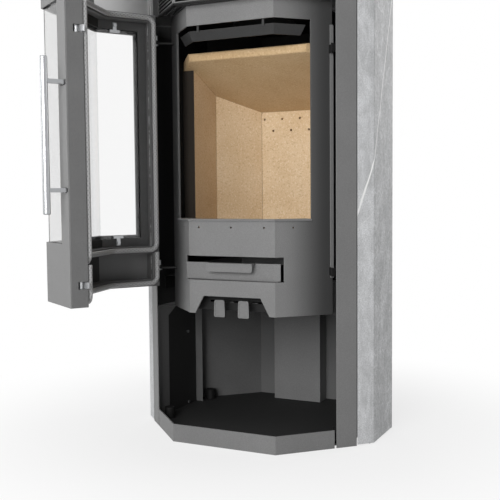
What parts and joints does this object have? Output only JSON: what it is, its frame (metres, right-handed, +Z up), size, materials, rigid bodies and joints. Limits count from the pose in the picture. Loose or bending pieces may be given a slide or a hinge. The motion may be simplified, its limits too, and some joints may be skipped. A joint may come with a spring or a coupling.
{
  "type": "soapstone wood-burning stove",
  "caption": "Tall eight-sided wood-burning stove with soapstone sides, a prismatic glass door standing open, ash drawer, air levers and an open log bay below.",
  "frame": {"origin": "on the floor under the centre of the eight-sided body, on the flue's axis", "axes": "+X to the right seen from the front, +Y to the back, +Z up"},
  "size_m": [0.6031, 0.8698, 1.154],
  "materials": {
    "grey_paint": "matt heat-resistant grey paint",
    "black_paint": "matt heat-resistant black paint",
    "black_rubber": "matt black",
    "bright_steel": "satin",
    "soapstone": "honed, mottled with pale veins",
    "vermiculite": "pressed board, fine grain",
    "cast_iron": "as cast",
    "fire_glass": "clear ceramic glass",
    "rope": "knitted glass-fibre rope"
  },
  "bodies": {
    "stove": {"air_box": "bright_steel", "air_deflector": "black_paint", "air_inlet_collar": "black_paint", "baffle": "vermiculite", "base_plinth": "grey_paint", "bay_floor": "black_paint", "convection_grille": "black_paint", "deflector_hangers": "bright_steel", "duct_cover": "black_paint", "firebox_base": "black_paint", "firebox_front": "grey_paint", "firebox_shell": "black_paint", "firebox_top": "black_paint", "flue_collar": "black_paint", "grate": "cast_iron", "guide_strips": "grey_paint", "hearth_plate": "black_paint", "hinge_brackets": "black_paint", "hinge_pins": "bright_steel", "keeper_strip": "grey_paint", "latch_keepers": "black_paint", "left_casing_wall": "black_paint", "left_jamb": "grey_paint", "left_stone": "soapstone", "levelling_feet": "black_rubber", "lining_floor": "vermiculite", "lining_left": "vermiculite", "lining_rear": "vermiculite", "lining_rear_left": "vermiculite", "lining_rear_right": "vermiculite", "lining_right": "vermiculite", "panel_brackets": "black_paint", "rear_casing": "black_paint", "right_casing_wall": "black_paint", "right_jamb": "grey_paint", "right_stone": "soapstone", "sill": "grey_paint", "stone_shelves": "black_paint", "support_rails": "black_paint", "top_plate": "black_paint", "top_stone": "soapstone", "top_valance": "grey_paint", "wall_screws": "bright_steel"},
    "door": {"door_shell": "grey_paint", "door_rims": "grey_paint", "door_glass": "fire_glass", "glass_seal": "rope", "door_inner_frame": "black_paint", "glass_clips": "bright_steel", "clip_screws": "bright_steel", "upper_seal": "rope", "lower_seal": "rope", "hinge_plates": "black_paint"},
    "latch": {"latch_shaft": "bright_steel", "door_handle": "bright_steel"},
    "ash_drawer": {"ash_drawer_front": "grey_paint", "ash_drawer_tray": "bright_steel"},
    "left_lever": {"air_lever_left": "bright_steel"},
    "right_lever": {"air_lever_right": "bright_steel"}
  },
  "joints": [
    {"name": "door_hinge", "type": "hinge", "parent": "stove", "child": "door", "pos_m": [-0.22399, -0.12086, 0.65], "axis": [0, 0, -1], "range_deg": [-78, 22]},
    {"name": "handle_turn", "type": "hinge", "parent": "door", "child": "latch", "pos_m": [-0.14281, -0.53341, 0.65], "axis": [0, 0, 1], "range_deg": [-30, 0]},
    {"name": "drawer_slide", "type": "slide", "parent": "stove", "child": "ash_drawer", "axis": [0, -1, 0], "range_m": [0, 0.23]},
    {"name": "left_air_slide", "type": "slide", "parent": "stove", "child": "left_lever", "axis": [1, 0, 0], "range_m": [-0.026, 0.012]},
    {"name": "right_air_slide", "type": "slide", "parent": "stove", "child": "right_lever", "axis": [1, 0, 0], "range_m": [-0.012, 0.026]}
  ]
}
